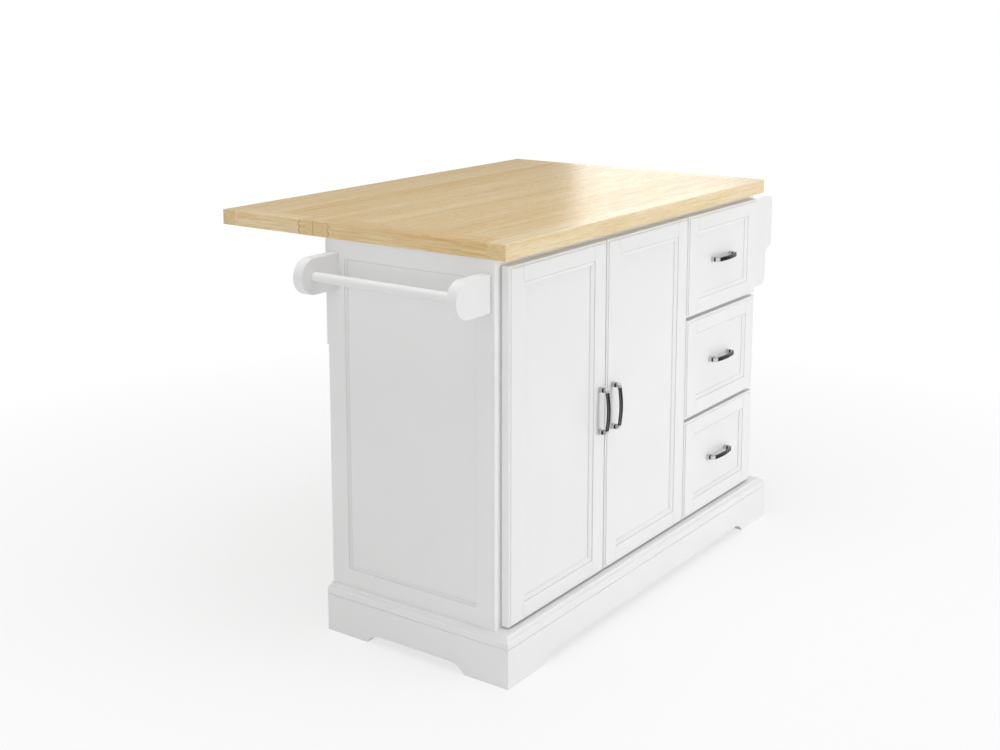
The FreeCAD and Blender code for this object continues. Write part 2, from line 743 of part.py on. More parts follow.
# ---- towel bar ----
def towel_bar():
    radius = bracket_height / 2
    z = z_under - bracket_drop - radius
    x_round = x_left - bracket_reach + radius
    brackets = []
    inner_faces = []
    for y, socket_y in ((y_front + bracket_inset, bracket_thickness - bar_socket),
                        (y_back - bracket_inset - bracket_thickness, 0)):
        body = box(x_round, x_left, y, y + bracket_thickness, z - radius, z + radius)
        end = rod(radius, bracket_thickness, V(x_round, y, z), V(0, 1, 0))
        socket = rod(bar_radius + bar_clearance, bar_socket, V(x_round, y + socket_y, z), V(0, 1, 0))
        brackets.append(fuse([body, end]).cut(socket))
        inner_faces.append(y + socket_y)
    write("towel_brackets", brackets)
    y0 = inner_faces[0]
    y1 = inner_faces[1] + bar_socket
    write("towel_bar", [rod(bar_radius, y1 - y0, V(x_round, y0, z), V(0, 1, 0))])


# ---- rack ----
def rack():
    z1 = z_under - rack_top_drop
    z0 = z1 - rack_height
    z_step = z1 - rack_upper_height
    y0, y1 = y_front + rack_inset, y_back - rack_inset

    def at(reach, z):
        return V(x_right + reach, y0, z)

    z_neck = z_step - rack_step_height
    z_turn = z0 + rack_corner
    turn_x = rack_lower_reach - rack_corner
    shoulder, neck = at(rack_reach, z_step), at(rack_lower_reach, z_neck)
    middle = (shoulder + neck) * 0.5
    bow = V(1, 0, -1) * (rack_step_height / 8)
    corner_bow = V(1, 0, -1) * (rack_corner * (math.sqrt(0.5) - 0.5))
    edges = [
        Part.makeLine(at(0, z0), at(0, z1)), Part.makeLine(at(0, z1), at(rack_reach, z1)),
        Part.makeLine(at(rack_reach, z1), shoulder), bowed(shoulder, middle, bow),
        bowed(middle, neck, bow * -1), Part.makeLine(neck, at(rack_lower_reach, z_turn)),
        bowed(at(rack_lower_reach, z_turn), at(turn_x, z0), corner_bow),
        Part.makeLine(at(turn_x, z0), at(0, z0))]
    near = prism(edges, V(0, rack_board, 0))
    far = moved(near, 0, y1 - y0 - rack_board, 0)
    write("rack_sides", [near, far])
    ya, yb = y0 + rack_board, y1 - rack_board
    shelves, rails = [], []
    for z, reach in ((z0, rack_lower_reach), (z_step, rack_reach)):
        edge = x_right + reach - rack_edge_set_back
        z_shelf = z + rack_shelf_lift
        shelves.append(box(x_right, edge, ya, yb, z_shelf, z_shelf + rack_shelf))
        z_rail = z_shelf + rack_shelf + rack_rail_lift
        rails.append(box(edge - rack_rail_thickness, edge, ya, yb, z_rail, z_rail + rack_rail_height))
    write("rack_shelves", shelves)
    write("rack_rails", rails)


os.makedirs("parts", exist_ok=True)
carcass()
plinth()
worktop()
leaf_hinges()
supports()
doors()
drawers()
towel_bar()
rack()
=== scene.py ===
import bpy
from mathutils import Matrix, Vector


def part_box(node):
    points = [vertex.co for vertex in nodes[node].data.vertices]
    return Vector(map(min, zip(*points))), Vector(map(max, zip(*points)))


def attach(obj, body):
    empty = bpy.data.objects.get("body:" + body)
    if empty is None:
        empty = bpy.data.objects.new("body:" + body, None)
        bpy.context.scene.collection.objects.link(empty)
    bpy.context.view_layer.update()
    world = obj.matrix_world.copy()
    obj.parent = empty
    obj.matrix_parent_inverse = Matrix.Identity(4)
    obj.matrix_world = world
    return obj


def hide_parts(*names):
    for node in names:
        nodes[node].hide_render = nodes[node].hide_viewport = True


bl_info = {
    "name": "Drop Leaf Kitchen Island",
    "version": (1, 0, 0),
    "blender": (4, 5, 0),
    "location": "3D View > Sidebar > Island",
    "description": "Joinery, hardware, finishes and a plain studio for the kitchen island",
    "category": "Object",
}

import math
import random

import bmesh
import bpy
from bpy.props import FloatProperty, FloatVectorProperty, PointerProperty
from mathutils import Vector

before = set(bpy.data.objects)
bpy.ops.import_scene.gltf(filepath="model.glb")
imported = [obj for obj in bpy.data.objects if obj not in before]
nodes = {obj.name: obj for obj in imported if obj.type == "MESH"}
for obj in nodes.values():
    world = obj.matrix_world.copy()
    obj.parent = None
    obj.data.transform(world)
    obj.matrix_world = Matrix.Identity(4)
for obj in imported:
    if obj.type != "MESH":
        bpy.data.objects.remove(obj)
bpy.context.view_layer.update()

MM = 0.001
X, Y, Z = 0, 1, 2
QUARTER_TURN = math.pi / 2
SHARP = math.radians(50)  # edges that turn further than this are softened
FLAT = math.radians(1)  # faces that turn less than this are one
ALIGNED = 0.99  # cosine above which two directions count as the same
SAME = 20e-6  # levels nearer than this, in metres, are the same
HAIR = 10e-6  # reach of a weld, and of a test for what lies on a face
DOUBLE = 1e-6  # points nearer than this are doubles


# ---- values a user would change ----
def length(name, millimetres, description):
    """A size of the island, given in millimetres and kept in metres."""
    return FloatProperty(name=name, description=description, default=millimetres * MM,
                         min=0.0, unit="LENGTH", precision=5)


def colour(name, value, description):
    """A colour of the island."""
    return FloatVectorProperty(name=name, description=description, default=value,
                               min=0.0, max=1.0, size=3, subtype="COLOR")


class IslandSizes(bpy.types.PropertyGroup):
    """Sizes of the joinery that the frame doesn't give"""
    rim: length("Rim width", 5.5, "Width of the lowered rim round each door and drawer front")
    rim_step: length("Rim step", 2.5, "How far the rim lies below the face of the front")
    rim_round: length("Rim round", 2.4, "Round on the long outer edges of the rim")
    stile: length("Stile width", 50.0, "Width of the upright members of the fronts")
    rail: length("Rail width", 38.0, "Width of the level members of the fronts")
    side_stile: length("Side stile width", 47.0, "Width of the upright members of the ends")
    side_rail: length("Side rail width", 40.0, "Width of the top member of the ends")
    recess: length("Panel recess", 8.0, "Depth of the flat panels below the frame faces")
    panel: length("Panel thickness", 6.0, "Thickness of the flat panels")
    groove: length("Joint line", 1.4, "Depth of the fine line where a rail meets a stile")
    arris: length("Arris", 0.7, "Softened edge of the painted pieces")
    top_arris: length("Worktop arris", 1.4, "Softened outer edge of the worktop")
    seam: length("Board seam", 0.5, "Softened edge between two boards of the worktop")
    tooth: length("Glue joint tooth", 4.0,
                  "Depth of the teeth where the rails beside the leaf joint are glued on")
    glue_line: length("Glue line", 0.9,
                      "Softened edge of the toothed joint, where the glue shows")


class IslandColours(bpy.types.PropertyGroup):
    """Colours of the paint, the woods, the metals and the floor"""
    paint: colour("Paint", (0.85, 0.85, 0.848), "White satin paint")
    paint_low: colour("Paint shade", (0.825, 0.825, 0.822),
                      "Paint where the roller left it thinner")
    wood_light: colour("Light wood", (0.875, 0.74, 0.49), "Pale growth of the worktop boards")
    wood_dark: colour("Dark wood", (0.65, 0.4, 0.115), "Darker growth of the worktop boards")
    ply_light: colour("Light ply", (0.74, 0.62, 0.45), "Pale growth of the drawer boxes")
    ply_dark: colour("Dark ply", (0.56, 0.42, 0.27), "Darker growth of the drawer boxes")
    nickel: colour("Dark nickel", (0.025, 0.025, 0.027), "Brushed metal of the pulls")
    # Colour of the painted highlights on the feet, bends and arrises of the pulls
    painted_shine: colour("Painted nickel highlight", (0.78, 0.78, 0.79),
                   "Edges and bends of the pulls, polished bright")
    zinc: colour("Zinc", (0.62, 0.63, 0.64), "Plated steel of the hinges and runners")
    floor: colour("Floor", (0.9, 0.9, 0.9), "Plain pale floor")


# ---- telling parts of a mesh apart ----
def near(value, *targets):
    """True if the value is one of the targets."""
    return any(abs(value - target) < SAME for target in targets)


def middle(edge):
    """The point halfway along an edge."""
    return (edge.verts[0].co + edge.verts[1].co) / 2


def facing(axis, sign):
    """A test for faces that look along an axis."""
    return lambda face: face.normal[axis] * sign > ALIGNED


def runs_along(edge, axis):
    """True if the edge is parallel to the axis."""
    step = edge.verts[1].co - edge.verts[0].co
    return abs(step[axis]) > ALIGNED * step.length


def is_sharp(edge):
    """True for an edge between two faces that a hand would feel."""
    return len(edge.link_faces) == 2 and edge.calc_face_angle(0) > SHARP


# ---- working in edit mode ----
def focus(obj):
    """Selects one object and makes it the active one."""
    bpy.ops.object.select_all(action="DESELECT")
    obj.select_set(True)
    bpy.context.view_layer.objects.active = obj


def start_edit(obj):
    """Opens one object in edit mode."""
    focus(obj)
    bpy.ops.object.mode_set(mode="EDIT")


def end_edit():
    """Goes back to object mode."""
    bpy.ops.object.mode_set(mode="OBJECT")


def pick(kind, test):
    """Selects only the faces, edges or vertices that pass the test."""
    bpy.ops.mesh.select_mode(type=kind)
    bpy.ops.mesh.select_all(action="DESELECT")
    data = bpy.context.edit_object.data
    mesh = bmesh.from_edit_mesh(data)
    parts = {"VERT": mesh.verts, "EDGE": mesh.edges, "FACE": mesh.faces}[kind]
    found = [part for part in parts if test(part)]
    for part in found:
        part.select_set(True)
    bmesh.update_edit_mesh(data)
    if not found:
        raise RuntimeError(f"nothing to select on {data.name}")


def bevel(width, segments):
    """Rounds the selected edges."""
    bpy.ops.mesh.bevel(offset=width, segments=segments, affect="EDGES", clamp_overlap=True)


def inset(width, depth=0.0):
    """Makes a smaller face inside the selected one, raised by depth."""
    bpy.ops.mesh.inset(thickness=width, depth=depth)


def slice_across(axis, level):
    """Cuts the whole mesh at one level of an axis, and keeps both sides."""
    normal = [0, 0, 0]
    normal[axis] = 1
    bpy.ops.mesh.select_all(action="SELECT")
    bpy.ops.mesh.bisect(plane_co=[level * part for part in normal], plane_no=normal,
                        use_fill=False)


def fit_face(low, high, depth):
    """Resizes the one selected face, which looks along Y, to a rectangle in X and Z."""
    mesh = bmesh.from_edit_mesh(bpy.context.edit_object.data)
    points = [vert.co for vert in mesh.verts if vert.select]
    old_low = Vector((min(p.x for p in points), depth, min(p.z for p in points)))
    old_high = Vector((max(p.x for p in points), depth, max(p.z for p in points)))
    old, new = old_high - old_low, Vector((high[0] - low[0], 0, high[1] - low[1]))
    centre = (old_low + old_high) / 2
    goal = Vector(((low[0] + high[0]) / 2, depth, (low[1] + high[1]) / 2))
    bpy.ops.transform.resize(value=(new.x / old.x, 1, new.z / old.z), center_override=centre)
    bpy.ops.transform.translate(value=goal - centre)


# ---- working with whole objects ----
def settle(obj):
    """Moves the object's place, turn and size into its mesh."""
    focus(obj)
    bpy.ops.object.transform_apply(location=True, rotation=True, scale=True)


def place(obj, location, turn=(0, 0, 0)):
    """Moves a piece from the origin to its place on the island."""
    obj.location = location
    obj.rotation_euler = turn
    settle(obj)


def block(name, low, high):
    """A plain block between two corners, ready to be shaped."""
    low, high = Vector(low), Vector(high)
    bpy.ops.object.select_all(action="DESELECT")
    bpy.ops.mesh.primitive_cube_add(size=1, location=(low + high) / 2, scale=high - low)
    obj = bpy.context.object
    obj.name = obj.data.name = name
    settle(obj)
    return obj


def copy_of(obj, name):
    """A copy with a mesh of its own."""
    focus(obj)
    bpy.ops.object.duplicate(linked=False)
    twin = bpy.context.object
    twin.name = twin.data.name = name
    return twin


def join(pieces, name):
    """Makes several pieces one object."""
    bpy.ops.object.select_all(action="DESELECT")
    for piece in pieces:
        piece.select_set(True)
    bpy.context.view_layer.objects.active = pieces[0]
    bpy.ops.object.join()
    obj = bpy.context.object
    obj.name = obj.data.name = name
    return obj


def add_modifier(obj, kind, **settings):
    """Adds a live modifier."""
    modifier = obj.modifiers.new(kind.lower(), kind)
    for name, value in settings.items():
        setattr(modifier, name, value)
    return modifier


def apply_modifier(obj, kind, **settings):
    """Adds a modifier and applies it."""
    modifier = add_modifier(obj, kind, **settings)
    focus(obj)
    bpy.ops.object.modifier_apply(modifier=modifier.name)


def smooth(obj, degrees=35):
    """Shades a piece smooth except where its faces turn by more than that."""
    focus(obj)
    bpy.ops.object.shade_smooth_by_angle(angle=math.radians(degrees))
    apply_modifier(obj, "WEIGHTED_NORMAL", keep_sharp=True, weight=100)


def clean(obj):
    """Merges doubled points and turns every face outwards."""
    start_edit(obj)
    bpy.ops.mesh.select_all(action="SELECT")
    bpy.ops.mesh.remove_doubles(threshold=DOUBLE)
    bpy.ops.mesh.normals_make_consistent(inside=False)
    end_edit()


def dress(obj, body, material, node):
    """Gives a finished piece its finish and its body, and hides the node it stands for."""
    obj.data.materials.clear()
    obj.data.materials.append(bpy.data.materials[material])
    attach(obj, body)
    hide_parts(node)


# ---- materials ----
SOCKETS = {"vector": "NodeSocketVector", "colour": "NodeSocketColor", "value": "NodeSocketFloat"}
FINISH_OUTPUTS = {"Colour": "colour", "Roughness": "value", "Height": "value"}
MIX_FACTOR, MIX_A, MIX_B, MIX_RESULT = 0, 6, 7, 2  # sockets of a Mix node set to colour
LAST_BOARD = 1.0  # boards have numbers from 0 to 1
GLUE = 2.0  # number of a glue line
PLY_BOARD = 0.4  # number of the drawer boxes, which are all one board


class Wiring:
    """Adds nodes to one tree; an argument that is a socket is linked, any other is set."""

    def __init__(self, tree):
        self.tree = tree

    def feed(self, socket, value):
        """Links or sets one input."""
        if isinstance(value, bpy.types.NodeSocket):
            self.tree.links.new(value, socket)
        else:
            socket.default_value = value

    def node(self, kind, inputs=(), **settings):
        """One shader node with its inputs fed and its settings made."""
        node = self.tree.nodes.new("ShaderNode" + kind)
        for name, value in settings.items():
            setattr(node, name, value)
        for name, value in dict(inputs).items():
            self.feed(node.inputs[name], value)
        return node

    def math(self, operation, *values):
        """One Math node on up to three values."""
        node = self.node("Math", operation=operation)
        for socket, value in zip(node.inputs, values):
            self.feed(socket, value)
        return node.outputs[0]

    def add(self, a, b):
        return self.math("ADD", a, b)

    def times(self, a, b):
        return self.math("MULTIPLY", a, b)

    def noise(self, vector, scale, detail=3.0, roughness=0.55, distortion=0.0):
        return self.node("TexNoise", {
            "Vector": vector, "Scale": scale, "Detail": detail,
            "Roughness": roughness, "Distortion": distortion}).outputs["Fac"]

    def stretch(self, vector, scale, shift=(0, 0, 0)):
        """Scales a place along each axis, and then moves it."""
        scaled = self.node("VectorMath", operation="MULTIPLY")
        self.feed(scaled.inputs[0], vector)
        self.feed(scaled.inputs[1], scale)
        added = self.node("VectorMath", operation="ADD")
        self.feed(added.inputs[0], scaled.outputs[0])
        self.feed(added.inputs[1], shift)
        return added.outputs[0]

    def spread(self, value, low, high, to_low=0.0, to_high=1.0):
        """Maps the values from low to high onto another range, and holds them inside it."""
        return self.node("MapRange", {
            "Value": value, "From Min": low, "From Max": high,
            "To Min": to_low, "To Max": to_high}).outputs[0]

    def blend(self, factor, a, b, kind="MIX"):
        """Mixes two colours, b over a."""
        node = self.node("Mix", data_type="RGBA", blend_type=kind)
        for socket, value in ((MIX_FACTOR, factor), (MIX_A, a), (MIX_B, b)):
            self.feed(node.inputs[socket], value)
        return node.outputs[MIX_RESULT]

    def face_value(self, name):
        """A number written on the faces of a piece."""
        return self.node("Attribute", attribute_name=name).outputs["Fac"]

    def object_place(self):
        """The place on the island, in metres."""
        return self.node("TexCoord").outputs["Object"]


def finish_group(name, **inputs):
    """An empty node group with the named inputs and with the outputs of every finish."""
    tree = bpy.data.node_groups.new(name, "ShaderNodeTree")
    for label, kind in inputs.items():
        tree.interface.new_socket(label, in_out="INPUT", socket_type=SOCKETS[kind])
    for label, kind in FINISH_OUTPUTS.items():
        tree.interface.new_socket(label, in_out="OUTPUT", socket_type=SOCKETS[kind])
    given = tree.nodes.new("NodeGroupInput").outputs
    return Wiring(tree), given, tree.nodes.new("NodeGroupOutput").inputs


def solid(rgb):
    """A colour with nothing showing through."""
    return (*rgb, 1.0)


def build_paint_group():
    """Rolled satin paint: slow changes of tone and a fine stipple."""
    cloud_tone, stipple_tone = 0.6, 0.3
    stipple_height, drag_height = 0.7, 0.3
    drag_scale = (160.0, 160.0, 9.0)  # the roller's pull runs upright
    wire, given, result = finish_group(
        "rolled_paint", Place="vector", Full="colour", Thin="colour", Gloss="value")
    cloud = wire.noise(given["Place"], scale=5.0, detail=2.0)
    stipple = wire.noise(given["Place"], scale=420.0, detail=2.0)
    drag = wire.noise(wire.stretch(given["Place"], drag_scale), scale=1.0, detail=2.0)
    tone = wire.math("MULTIPLY_ADD", wire.spread(cloud, 0.35, 0.7), cloud_tone,
                     wire.times(stipple, stipple_tone))
    uneven_gloss = wire.spread(cloud, 0.3, 0.7, to_low=-0.04, to_high=0.05)
    wire.feed(result["Colour"], wire.blend(tone, given["Full"], given["Thin"]))
    wire.feed(result["Roughness"], wire.add(given["Gloss"], uneven_gloss))
    wire.feed(result["Height"], wire.add(wire.times(stipple, stipple_height),
                                         wire.times(drag, drag_height)))


def build_wood_group():
    """Flat-sawn board: slow figure, fibres, short dark pores, and rings on the end grain."""
    shift_along, shift_across = 37.0, 91.0  # from one board's stretch of grain to the next
    figure_tone, fibre_tone, glue_tone, end_fibre_tone = 0.4, 0.5, 0.9, 0.1
    pore_tone, pore_tone_on_end = 0.5, 0.2
    fibre_height, pore_height = 0.5, 0.6
    end_roughness = 0.16
    wire, given, result = finish_group(
        "sawn_board", Grain="vector", Board="value", End="value", Light="colour", Dark="colour")
    shift = wire.node("CombineXYZ", {
        "X": wire.times(given["Board"], shift_along),
        "Y": wire.times(given["Board"], shift_across)}).outputs[0]

    def growth(along, across, **noise):
        """Noise drawn out along the grain, by its scale along and across it."""
        drawn = wire.stretch(given["Grain"], (along, across, 1.0), shift)
        return wire.noise(drawn, scale=1.0, **noise)

    figure = growth(1.8, 58.0, detail=5.0, roughness=0.66, distortion=0.6)
    fibre = growth(9.0, 240.0, detail=4.0, roughness=0.62)
    pore = growth(26.0, 430.0, detail=2.0, roughness=0.5)
    ring = growth(55.0, 260.0, detail=3.0, roughness=0.5, distortion=1.2)
    flecks = wire.spread(pore, 0.55, 0.66)
    glue = wire.spread(given["Board"], LAST_BOARD, GLUE, to_high=glue_tone)
    own_tone = wire.spread(given["Board"], 0.0, LAST_BOARD, to_low=-0.24, to_high=0.2)
    long_tone = wire.add(wire.spread(figure, 0.38, 0.66, to_high=figure_tone),
                         wire.spread(fibre, 0.36, 0.64, to_high=fibre_tone))
    face_tone = wire.add(long_tone, wire.add(own_tone, glue))
    ring_tone = wire.spread(ring, 0.35, 0.65, to_low=0.28, to_high=0.7)
    end_tone = wire.add(wire.add(ring_tone, wire.times(fibre, end_fibre_tone)), glue)
    tone = wire.add(wire.times(face_tone, wire.math("SUBTRACT", 1.0, given["End"])),
                    wire.times(end_tone, given["End"]))
    clamped = wire.node("Clamp", {"Value": tone}).outputs[0]
    grown = wire.blend(clamped, given["Light"], given["Dark"])
    fleck_tone = wire.times(flecks, wire.math(
        "MULTIPLY_ADD", given["End"], pore_tone_on_end - pore_tone, pore_tone))
    wire.feed(result["Colour"], wire.blend(fleck_tone, grown, given["Dark"]))
    wire.feed(result["Roughness"], wire.add(
        wire.spread(fibre, 0.3, 0.7, to_low=0.24, to_high=0.34),
        wire.times(given["End"], end_roughness)))
    wire.feed(result["Height"], wire.math(
        "SUBTRACT", wire.times(fibre, fibre_height), wire.times(flecks, pore_height)))


def build_metal_group():
    """Brushed metal: fine scratches one way, a few soft smudges, and painted highlights blended
    in by a number on the faces.
    """
    scratch_shade = solid((0.8, 0.8, 0.8))
    wire, given, result = finish_group(
        "brushed_metal", Place="vector", Direction="vector", Metal="colour", Bright="colour",
        Polish="value")
    drawn = wire.stretch(given["Place"], given["Direction"])
    scratch = wire.noise(drawn, scale=1.0, detail=3.0, roughness=0.7)
    smudge = wire.noise(given["Place"], scale=60.0, detail=2.0)
    # painted highlight: the bright colour laid over the metal where the faces' number says so
    plain = wire.blend(given["Polish"], given["Metal"], given["Bright"])
    darker = wire.blend(1.0, plain, scratch_shade, "MULTIPLY")
    wire.feed(result["Colour"], wire.blend(wire.spread(scratch, 0.3, 0.7), plain, darker))
    wire.feed(result["Roughness"], wire.add(
        wire.spread(scratch, 0.3, 0.7, to_low=0.2, to_high=0.34),
        wire.spread(smudge, 0.4, 0.7, to_high=0.07)))
    wire.feed(result["Height"], scratch)


def new_material(name, group, values, strength, relief, **principled):
    """One finish: the group's colour, roughness and height on a Principled shader.

    values gives the group's inputs, and relief is the height of its bumps in millimetres.
    """
    material = bpy.data.materials.new(name)
    material.use_nodes = True
    tree = material.node_tree
    wire = Wiring(tree)
    shader = tree.nodes["Principled BSDF"]
    effect = wire.node("Group", node_tree=bpy.data.node_groups[group])
    for label, value in values(wire).items():
        wire.feed(effect.inputs[label], value)
    bump = wire.node("Bump", {
        "Height": effect.outputs["Height"], "Strength": strength, "Distance": relief * MM})
    wire.feed(shader.inputs["Base Color"], effect.outputs["Colour"])
    wire.feed(shader.inputs["Roughness"], effect.outputs["Roughness"])
    wire.feed(shader.inputs["Normal"], bump.outputs["Normal"])
    for label, value in principled.items():
        shader.inputs[label.replace("_", " ")].default_value = value


def paint_values(full, thin, gloss):
    """Paint of two tones and one gloss."""
    return lambda wire: {
        "Place": wire.object_place(), "Full": solid(full), "Thin": solid(thin), "Gloss": gloss}


def board_values(light, dark):
    """Boards carry their own grain map and the two numbers written on their faces."""
    return lambda wire: {
        "Grain": wire.node("UVMap", uv_map="grain").outputs[0],
        "Board": wire.face_value("board"), "End": wire.face_value("end_grain"),
        "Light": solid(light), "Dark": solid(dark)}


def ply_values(light, dark):
    """Drawer wood, on the object's own coordinates with the grain along Y."""
    def values(wire):
        parts = wire.node("SeparateXYZ", {"Vector": wire.object_place()}).outputs
        across = wire.add(parts["Z"], parts["X"])
        grain = wire.node("CombineXYZ", {"X": parts["Y"], "Y": across}).outputs[0]
        return {"Grain": grain, "Board": PLY_BOARD, "End": 0.0,
                "Light": solid(light), "Dark": solid(dark)}
    return values


def metal_values(rgb, bright, direction):
    """Metal with scratches whose scale along each axis is the direction, and the painted
    highlight number read from its faces.
    """
    return lambda wire: {
        "Place": wire.object_place(), "Direction": direction, "Metal": solid(rgb),
        "Bright": solid(bright), "Polish": wire.face_value("painted_shine")}


BRUSHED_UPRIGHT, BRUSHED_LEVEL, ROLLED = (900, 900, 40), (40, 900, 900), (60, 700, 60)


class ISLAND_OT_finishes(bpy.types.Operator):
    """Builds the paints, woods and metals of the island"""
    bl_idname = "island.finishes"
    bl_label = "Finishes"

    def execute(self, context):
        tint = context.scene.island_colours
        build_paint_group()
        build_wood_group()
        build_metal_group()
        new_material("satin_paint", "rolled_paint",
                     paint_values(tint.paint, tint.paint_low, gloss=0.36),
                     strength=0.06, relief=0.3, Coat_Weight=0.05)
        new_material("inside_paint", "rolled_paint",
                     paint_values(tint.paint_low, tint.paint, gloss=0.48),
                     strength=0.1, relief=0.4)
        new_material("worktop_lacquer", "sawn_board",
                     board_values(tint.wood_light, tint.wood_dark), strength=0.12, relief=0.4)
        new_material("drawer_ply", "sawn_board",
                     ply_values(tint.ply_light, tint.ply_dark), strength=0.15, relief=0.4)
        for name, direction in (("nickel_upright", BRUSHED_UPRIGHT),
                                ("nickel_level", BRUSHED_LEVEL)):
            new_material(name, "brushed_metal", metal_values(tint.nickel, tint.painted_shine, direction),
                         strength=0.08, relief=0.2, Metallic=1.0)
        new_material("zinc_plate", "brushed_metal", metal_values(tint.zinc, tint.zinc, ROLLED),
                     strength=0.06, relief=0.2, Metallic=1.0)
        return {"FINISHED"}


# ---- nodes of the frame ----
PLATE_ARRIS = 0.25 * MM  # softened edge of the plated fittings
CAD_FINISHES = {
    "satin_paint": [
        "left_side_panel", "right_side_panel", "left_door_panel", "right_door_panel",
        "top_drawer_panel", "middle_drawer_panel", "bottom_drawer_panel", "face_frame",
        "left_side_frame", "right_side_frame", "left_door_frame", "right_door_frame",
        "top_drawer_frame", "middle_drawer_frame", "bottom_drawer_frame",
        "left_support", "right_support", "plinth_front", "plinth_left", "plinth_right",
        "plinth_back", "plinth_caps", "towel_bar", "towel_brackets",
        "rack_rails", "rack_shelves", "rack_sides"],
    "inside_paint": [
        "back_panel", "cabinet_floor", "cupboard_divider", "shelf", "top_stretchers",
        "corner_blocks", "runner_blocks"],
    "worktop_lacquer": ["worktop_frame", "worktop_boards", "leaf_frame", "leaf_boards"],
    "drawer_ply": ["top_drawer_box", "middle_drawer_box", "bottom_drawer_box"],
    "nickel_upright": ["left_door_pull", "right_door_pull"],
    "nickel_level": ["top_drawer_pull", "middle_drawer_pull", "bottom_drawer_pull"],
    "zinc_plate": [
        "top_drawer_runners", "middle_drawer_runners", "bottom_drawer_runners",
        "drawer_channels", "door_hinge_arms", "left_door_hinge_cups", "right_door_hinge_cups",
        "leaf_hinge_flaps", "leaf_hinge_plates", "left_support_hinge_flaps",
        "right_support_hinge_flaps", "support_hinge_plates", "shelf_pins"],
}


class ISLAND_OT_carcass(bpy.types.Operator):
    """Paints and plates the nodes of the frame, and softens their edges"""
    bl_idname = "island.carcass"
    bl_label = "Carcass and fittings"

    def execute(self, context):
        arris = context.scene.island_sizes.arris
        for finish, names in CAD_FINISHES.items():
            width = PLATE_ARRIS if finish == "zinc_plate" else arris
            for name in names:
                node = nodes[name]
                node.data.materials.clear()
                node.data.materials.append(bpy.data.materials[finish])
                add_modifier(node, "WELD", merge_threshold=HAIR)
                add_modifier(node, "DECIMATE", decimate_type="DISSOLVE", angle_limit=FLAT)
                add_modifier(node, "BEVEL", width=width, segments=2, limit_method="ANGLE",
                             angle_limit=SHARP)
                add_modifier(node, "WEIGHTED_NORMAL", keep_sharp=True)
        return {"FINISHED"}


# ---- doors, drawer fronts and ends ----
DOORS = ("left_door", "right_door")
DRAWERS = ("top_drawer", "middle_drawer", "bottom_drawer")
# Width and drop of each step of a moulding, in millimetres, from the face to the panel.
FRONT_MOULDING = ((0.2, 2.4), (1.0, 0.0), (0.3, -1.2), (8.0, 4.2), (0.3, 2.4), (1.2, 0.2))
SIDE_MOULDING = ((0.2, 2.2), (0.8, 0.0), (0.2, -1.0), (2.6, 3.6), (0.3, 3.0), (0.9, 0.2))
RIM_RISE = ((0.25 * MM, 0.8), (0.5 * MM, 0.2))  # widths from rim to face, shares of the step
LEVEL_ROUND = 0.6  # round of the rim's level edges, as a share of that of the upright ones
FIRST_INSET = 4 * MM  # starts the face that fit_face then sizes
REBATE_SLOPE = 0.3 * MM  # by which the opening narrows from the back to the panel
FRAME_ARRIS = 0.5 * MM
JOINT_LIP = 1 * MM  # from the edge of the opening to the joint line
JOINT_HALF_WIDTH = 0.9 * MM
CUP_INSET = 22 * MM  # from the end of a pair of hinge cups to the middle of a cup
CUP_SIDES = 48


def framed_piece(name, width, height, thickness, members, profile, sizes, rim):
    """A mitre-stuck frame: stiles and rails round an open middle, its face looking along -Y.

    members is (stile, bottom rail, top rail) and profile the moulding. The lower left corner
    of the face is the origin.
    """
    stile, low_rail, high_rail = members
    step = sizes.rim_step if rim else 0.0
    obj = block(name, (0, step, 0), (width, thickness, height))
    start_edit(obj)
    pick("FACE", facing(Y, -1))
    if rim:
        inset(sizes.rim)
        for across, share in RIM_RISE:
            inset(across, step * share)
    inset(FIRST_INSET)
    mouth = ((stile, low_rail), (width - stile, height - high_rail))
    fit_face(*mouth, depth=0)
    for across, drop in profile:
        inset(across * MM, -drop * MM)
    bpy.ops.mesh.delete(type="FACE")
    run = sum(across for across, _ in profile) * MM
    pick("FACE", facing(Y, 1))
    inset(FIRST_INSET)
    fit_face((stile + run, low_rail + run), (width - stile - run, height - high_rail - run),
             thickness)
    inset(REBATE_SLOPE, -(thickness - sizes.recess - sizes.panel))
    bpy.ops.mesh.delete(type="FACE")
    pick("EDGE", lambda edge: len(edge.link_faces) == 1)
    bpy.ops.mesh.bridge_edge_loops()
    if rim:
        cut_joints(mouth, sizes)
        pick("EDGE", lambda edge: runs_along(edge, Z) and near(middle(edge).y, step)
             and near(middle(edge).x, 0, width))
        bevel(sizes.rim_round, segments=4)
        pick("EDGE", lambda edge: runs_along(edge, X) and near(middle(edge).y, step)
             and near(middle(edge).z, 0, height))
        bevel(sizes.rim_round * LEVEL_ROUND, segments=3)
    pick("EDGE", lambda edge: is_sharp(edge) and (
        near(middle(edge).x, 0, width) or near(middle(edge).z, 0, height)))
    bevel(FRAME_ARRIS, segments=2)
    end_edit()
    clean(obj)
    smooth(obj)
    return obj


def cut_joints(mouth, sizes):
    """Scores the fine line on the face where each rail meets a stile."""
    low, high = mouth

    def on_rail(face):
        centre = face.calc_center_median()
        return facing(Y, -1)(face) and near(centre.y, 0) and not low[1] < centre.z < high[1]

    for cut in (low[0] - JOINT_LIP, high[0] + JOINT_LIP):
        pick("FACE", on_rail)
        bpy.ops.mesh.bisect(plane_co=(cut, 0, 0), plane_no=(1, 0, 0), use_fill=False)
        pick("EDGE", lambda edge: runs_along(edge, Z) and near(middle(edge).x, cut)
             and near(middle(edge).y, 0))
        bevel(JOINT_HALF_WIDTH, segments=2)
        pick("VERT", lambda vert: near(vert.co.x, cut) and near(vert.co.y, 0))
        bpy.ops.transform.translate(value=(0, sizes.groove, 0))


